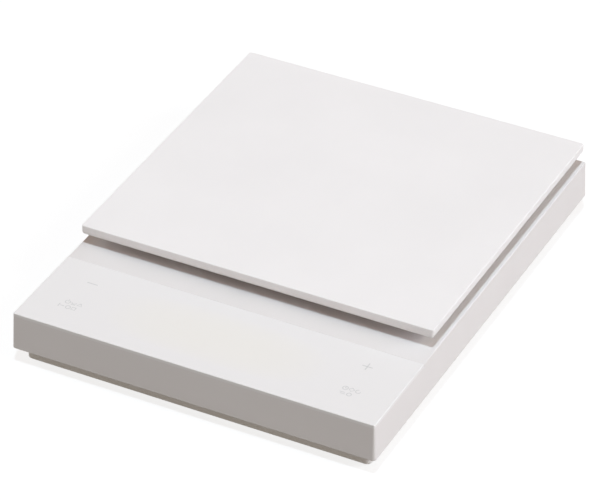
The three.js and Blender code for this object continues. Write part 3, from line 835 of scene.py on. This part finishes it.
def screw(node, name, head_height, up=False):
    """A pan-head screw with a cross recess and a thread, as long as the CAD's. Up puts the head on top."""
    low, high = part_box(node)
    head = (high.x - low.x) / 2
    length = high.z - low.z
    shank = SHANK_RADII[node.split("_")[0]]
    profile = [(head * 0.55, 0), (head * 0.78, 0.04 * head_height), (head * 0.92, 0.16 * head_height)]
    profile += [(head, 0.42 * head_height), (head, head_height - 0.08 * MM), (head - 0.08 * MM, head_height)]
    pitch = shank * 0.5
    root = shank * 0.82
    z = head_height + pitch
    profile += [(root, head_height), (root, z)]
    while z + pitch < length - shank:
        profile += [(shank, z + 0.35 * pitch), (shank, z + 0.5 * pitch)]
        profile += [(root, z + 0.85 * pitch), (root, z + pitch)]
        z += pitch
    profile += [(root, length - shank * 0.8), (root * 0.25, length)]
    body = lofts(name, turned_rings(profile, Vector((0, 0, 0)), 32))
    long, short, depth = head * 0.55, head * 0.13, head_height * 0.62
    for x, y in ((long, short), (short, long)):
        cross = [
            ring_points(-x * k, x * k, -y * k, y * k, 0.04 * MM, z, 2)
            for k, z in ((1.12, -0.2 * MM), (1, 0), (0.7, depth))
        ]
        boolean(body, lofts("recess", cross), "DIFFERENCE")
    flip = Matrix.Rotation(math.pi, 4, "X") if up else Matrix.Identity(4)
    base = Vector(((low.x + high.x) / 2, (low.y + high.y) / 2, high.z if up else low.z))
    body.data.transform(Matrix.Translation(base) @ flip)
    return finished(even_normals(body), node)


def screws():
    for corner in CORNERS:
        screw(f"case_screw_{corner}", f"case_fastener_{corner}", 1.5 * MM)
        screw(f"circuit_board_screw_{corner}", f"board_fastener_{corner}", 1.2 * MM)
    for i in (1, 2):
        screw(f"load_cell_base_screw_{i}", f"cell_fastener_{i}", 1.3 * MM)
        screw(f"carrier_screw_{i}", f"carrier_fastener_{i}", 1.8 * MM, up=True)


# ---- Batteries and their contacts ---------------------------------------------------------------------


def battery(node, name, positive_at_rear):
    low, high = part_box(node)
    radius = (high.x - low.x) / 2
    length = high.y - low.y
    nub, can = 1 * MM, radius - 0.05 * MM
    profile = [
        (radius * 0.62, 0),
        (radius * 0.74, 0.05 * MM),
        (radius * 0.80, 0.45 * MM),
        (can - 0.35 * MM, 0.45 * MM),
        (can - 0.08 * MM, 0.6 * MM),
        (can, 0.95 * MM),
        (radius, 1.0 * MM),
        (radius, length - nub - 0.95 * MM),
        (can, length - nub - 0.9 * MM),
        (can - 0.1 * MM, length - nub - 0.35 * MM),
        (can - 0.45 * MM, length - nub - 0.05 * MM),
        (can - 0.9 * MM, length - nub),
        (radius * 0.46, length - nub),
        (radius * 0.40, length - nub + 0.1 * MM),
        (radius * 0.36, length - 0.15 * MM),
        (radius * 0.32, length),
    ]
    base = Vector(((low.x + high.x) / 2, low.y, (low.z + high.z) / 2))
    rings = turned_rings(profile, base, 48, along_y=True)
    if not positive_at_rear:
        rings = [[Vector((p.x, low.y + high.y - p.y, p.z)) for p in ring] for ring in rings]
    return finished(even_normals(lofts(name, rings)), node)


PLATE_HALF_HEIGHT = 4 * MM
PLATE_OVERHANG = 4.4 * MM
PLATE_THICKNESS = 0.4 * MM


def coil(centre, end, wire=0.35 * MM, turns=3.6, height=3.7 * MM):
    """Rings of a spring that narrows from its plate at centre towards the cell. Its ends lie flat."""
    steps, sides = int(turns * 30), 10
    rings = []
    for i in range(steps + 1):
        turn = turns * i / steps
        radius = 3.55 * MM - 1.45 * MM * min(1, turn / (turns - 0.8))
        rise = wire + (height - 2 * wire) * min(1, max(0, (turn - 0.6) / (turns - 1.5)))
        angle = 2 * math.pi * turn
        heading = Vector((math.cos(angle), 0, math.sin(angle)))
        middle = centre + heading * radius - Vector((0, end * rise, 0))
        around = [2 * math.pi * k / sides for k in range(sides)]
        rings.append([
            middle + heading * wire * math.cos(a) + Vector((0, wire * math.sin(a), 0)) for a in around
        ])
    return rings


def contact(node, name, end, first, last, spring_on):
    """A sheet contact on the rear (1) or front (-1) wall, with its spring or its raised dimple."""
    low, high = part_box(node)
    cells = [middle_of(f"battery_cell_{cell}") for cell in ("left", "middle", "right")]
    wall = high.y if end > 0 else low.y
    inner = wall - end * PLATE_THICKNESS
    x0, x1 = cells[first].x - PLATE_OVERHANG, cells[last].x + PLATE_OVERHANG
    z = cells[first].z
    outline = ring_points(x0, x1, z - PLATE_HALF_HEIGHT, z + PLATE_HALF_HEIGHT, 0.8 * MM, 0, 4)
    lip = 0.08 * MM
    middle = (x0 + x1) / 2
    solids = [[
        [
            (x + math.copysign(lip, middle - x) * k, y, height + math.copysign(lip, z - height) * k)
            for x, height, _ in outline
        ]
        for y, k in ((wall, 0), (inner + end * lip, 0), (inner, 1))
    ]]
    for i in range(first, last + 1):
        centre = Vector((cells[i].x, inner, z))
        if i == spring_on:
            solids.append(coil(centre, end))
        else:
            button = [(2.2 * MM, -0.1 * MM), (2.0 * MM, 0.12 * MM), (1.4 * MM, 0.2 * MM)]
            rings = turned_rings(button, Vector((0, 0, 0)), 32, along_y=True)
            solids.append([[centre + Vector((v.x, -end * v.y, v.z)) for v in ring] for ring in rings])
    return finished(even_normals(lofts(name, *solids)), node)


def contacts():
    contact("battery_positive_contact", "positive_plate", 1, 0, 0, None)
    contact("battery_bridge_contact_rear", "rear_bridge_plate", 1, 1, 2, 1)
    contact("battery_bridge_contact_front", "front_bridge_plate", -1, 0, 1, 0)
    contact("battery_negative_contact", "negative_plate", -1, 2, 2, 2)


def batteries():
    for position, rear in (("left", True), ("middle", False), ("right", True)):
        battery(f"battery_cell_{position}", f"cell_{position}", rear)


# ---- Load cell ----------------------------------------------------------------------------------------


def load_cell_and_seals():
    """The load cell and its gauge seals, copied with softened edges."""
    clamped = middle_of("load_cell_base_spacer")
    loaded = middle_of("carrier_spacer")
    loaded.z = clamped.z
    for node, name in (
        ("load_cell", "weighing_beam"),
        ("strain_gauge_seal_top", "upper_gauge_seal"),
        ("strain_gauge_seal_bottom", "lower_gauge_seal"),
    ):
        piece = softened_copy(node, name, 0.2 * MM, rides=False)
        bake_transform(piece)


# ---- Carried-over nodes -------------------------------------------------------------------------------


def dress_nodes():
    """Gives every CAD node the material of its slot."""
    for name, node in frame["nodes"].items():
        node.data.materials.clear()
        node.data.materials.append(material_of(name))


def soften_nodes():
    """Breaks the hard edges of the CAD nodes that no piece replaces, by modifiers."""
    for node in frame["nodes"].values():
        if node.hide_render:
            continue
        node.modifiers.new("weld", "WELD").merge_threshold = WELD_DISTANCE
        flat = node.modifiers.new("whole_faces", "DECIMATE")
        flat.decimate_type = "DISSOLVE"
        flat.angle_limit = FLAT_WITHIN
        bevel = node.modifiers.new("rounded_edges", "BEVEL")
        bevel.limit_method = "ANGLE"
        bevel.angle_limit = CREASE
        bevel.width = 0.08 * MM
        bevel.segments = 2


# ---- Floor and light ----------------------------------------------------------------------------------

FLOOR_HALF_SIZE = 12
FLOOR_TONES = ((0.25, 0.25, 0.25), (0.27, 0.27, 0.27))
FLOOR_GLOW = 0.78  # keeps the shadows on the floor faint


def floor():
    bm = bmesh.new()
    bmesh.ops.create_grid(bm, x_segments=8, y_segments=8, size=FLOOR_HALF_SIZE)
    obj = link_mesh("floor", bm)
    paint = Paint("floor", roughness=0.8)
    mottle = paint.noise(0.4, 2)
    paint.colour(paint.mix(paint.between(mottle, 0, 1), *FLOOR_TONES))
    paint.shader.inputs["Emission Color"].default_value = (1, 1, 1, 1)
    paint.shader.inputs["Emission Strength"].default_value = FLOOR_GLOW
    obj.data.materials.append(paint.material)
    # The object is lit from below by the world, not by light that bounces off the floor.
    obj.visible_diffuse = False


# (azimuth, elevation, size in metres, watts of red, green and blue). Azimuth 90 is on the right.
SOFTBOXES = {
    "key_overhead": (25, 73.5, 0.33, (144, 172, 192)),
    "right_high": (90, 40, 1.35, (60, 63, 57)),
    "right_low": (90, 20, 3.8, (126, 114, 122)),
    "right_rear": (110, 20, 2.2, (50, 63, 74)),
    "left_low": (270, 20, 3.8, (84, 89, 92)),
}
SOFTBOX_DISTANCE = 6.0
SKY = (0.280, 0.192, 0.146)
GROUND_GLOW = (0.238, 0.244, 0.222)
BACKDROP = (0.900, 0.885, 0.870)  # past the edge of the floor


def softbox(name, azimuth, elevation, size, power):
    """A square soft light that looks at the object."""
    data = bpy.data.lights.new(name, "AREA")
    data.shape = "SQUARE"
    data.size = size
    data.energy = max(power)
    data.color = [channel / max(power) for channel in power]
    light = bpy.data.objects.new(name, data)
    bpy.context.scene.collection.objects.link(light)
    a, e = math.radians(azimuth), math.radians(elevation)
    back = Vector((math.sin(a) * math.cos(e), -math.cos(a) * math.cos(e), math.sin(e)))
    light.location = back * SOFTBOX_DISTANCE
    light.rotation_mode = "QUATERNION"
    light.rotation_quaternion = (-back).to_track_quat("-Z", "Y")


def studio():
    """A world that lights with one tone above the horizon and another below it, and looks plain."""
    world = bpy.data.worlds.new("studio")
    world.use_nodes = True
    tree = world.node_tree
    axes = tree.nodes.new("ShaderNodeSeparateXYZ")
    tree.links.new(tree.nodes.new("ShaderNodeTexCoord").outputs["Generated"], axes.inputs["Vector"])
    above = tree.nodes.new("ShaderNodeMath")
    above.operation = "GREATER_THAN"
    above.inputs[1].default_value = 0.0
    tree.links.new(axes.outputs["Z"], above.inputs[0])
    tone = tree.nodes.new("ShaderNodeMix")
    tone.data_type = "RGBA"
    tone.inputs[6].default_value = (*GROUND_GLOW, 1)
    tone.inputs[7].default_value = (*SKY, 1)
    tree.links.new(above.outputs[0], tone.inputs["Factor"])
    seen = tree.nodes.new("ShaderNodeMix")
    seen.data_type = "RGBA"
    seen.inputs[7].default_value = (*BACKDROP, 1)
    tree.links.new(tree.nodes.new("ShaderNodeLightPath").outputs["Is Camera Ray"], seen.inputs["Factor"])
    tree.links.new(tone.outputs[2], seen.inputs[6])
    tree.links.new(seen.outputs[2], tree.nodes["Background"].inputs["Color"])
    bpy.context.scene.world = world


def lights():
    studio()
    for name, settings in SOFTBOXES.items():
        softbox(name, *settings)


make_camera()
dress_nodes()
platform()
housing()
control_panel()
bottom_cover()
feet_and_pads()
screws()
batteries()
contacts()
key_marks()
softened_copy("battery_door", "battery_hatch", 0.25 * MM, 0.1 * MM, 3)
softened_copy("platform_carrier", "carrier_plate", 0.35 * MM, 0.15 * MM, 3)
softened_copy("carrier_spacer", "carrier_block", 0.2 * MM)
load_cell_and_seals()
softened_copy("load_cell_base_spacer", "beam_shim", 0.1 * MM)
soften_nodes()
floor()
lights()
bpy.context.scene.view_settings.view_transform = "Standard"
